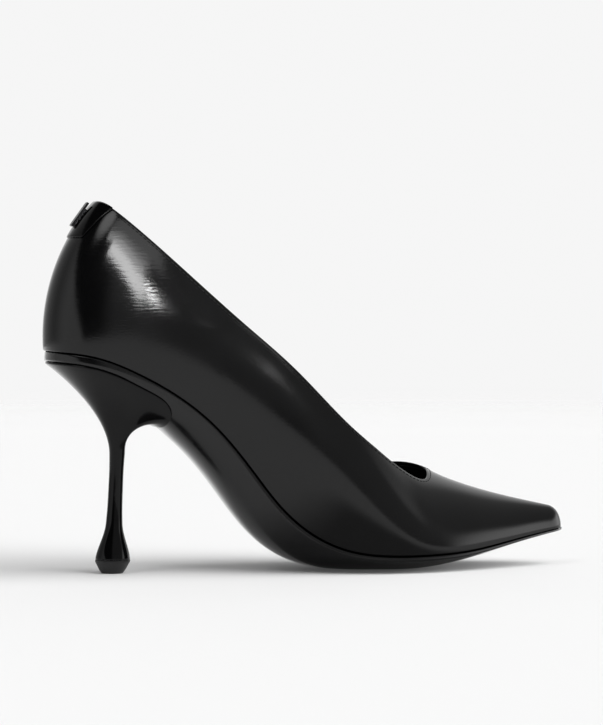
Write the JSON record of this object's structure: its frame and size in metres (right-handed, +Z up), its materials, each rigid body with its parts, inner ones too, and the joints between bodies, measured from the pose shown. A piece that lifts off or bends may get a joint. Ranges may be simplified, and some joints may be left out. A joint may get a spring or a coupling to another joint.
{
  "type": "high heel shoe",
  "caption": "Black leather pump with a pointed toe, a low-cut throat and a slim high heel that swells into a drop at the floor.",
  "frame": {"origin": "on the floor, at the middle of the shoe's length and width", "axes": "+X to the toe, +Y to the inner side of the foot, +Z up"},
  "size_m": [0.2306, 0.0728, 0.1589],
  "materials": {
    "upper_leather": "smooth semi-gloss black calf",
    "sole_leather": "polished black",
    "sock_leather": "soft matte black lining",
    "heel_lacquer": "high-gloss black lacquer",
    "top_piece_rubber": "satin black",
    "tab_leather": "smooth semi-gloss black calf",
    "bar_metal": "dark satin metal"
  },
  "bodies": {
    "root": {"upper": "upper_leather", "outsole": "sole_leather", "insole": "sock_leather", "heel": "heel_lacquer", "top_piece": "top_piece_rubber", "back_tab": "tab_leather", "back_bar": "bar_metal"}
  },
  "joints": []
}
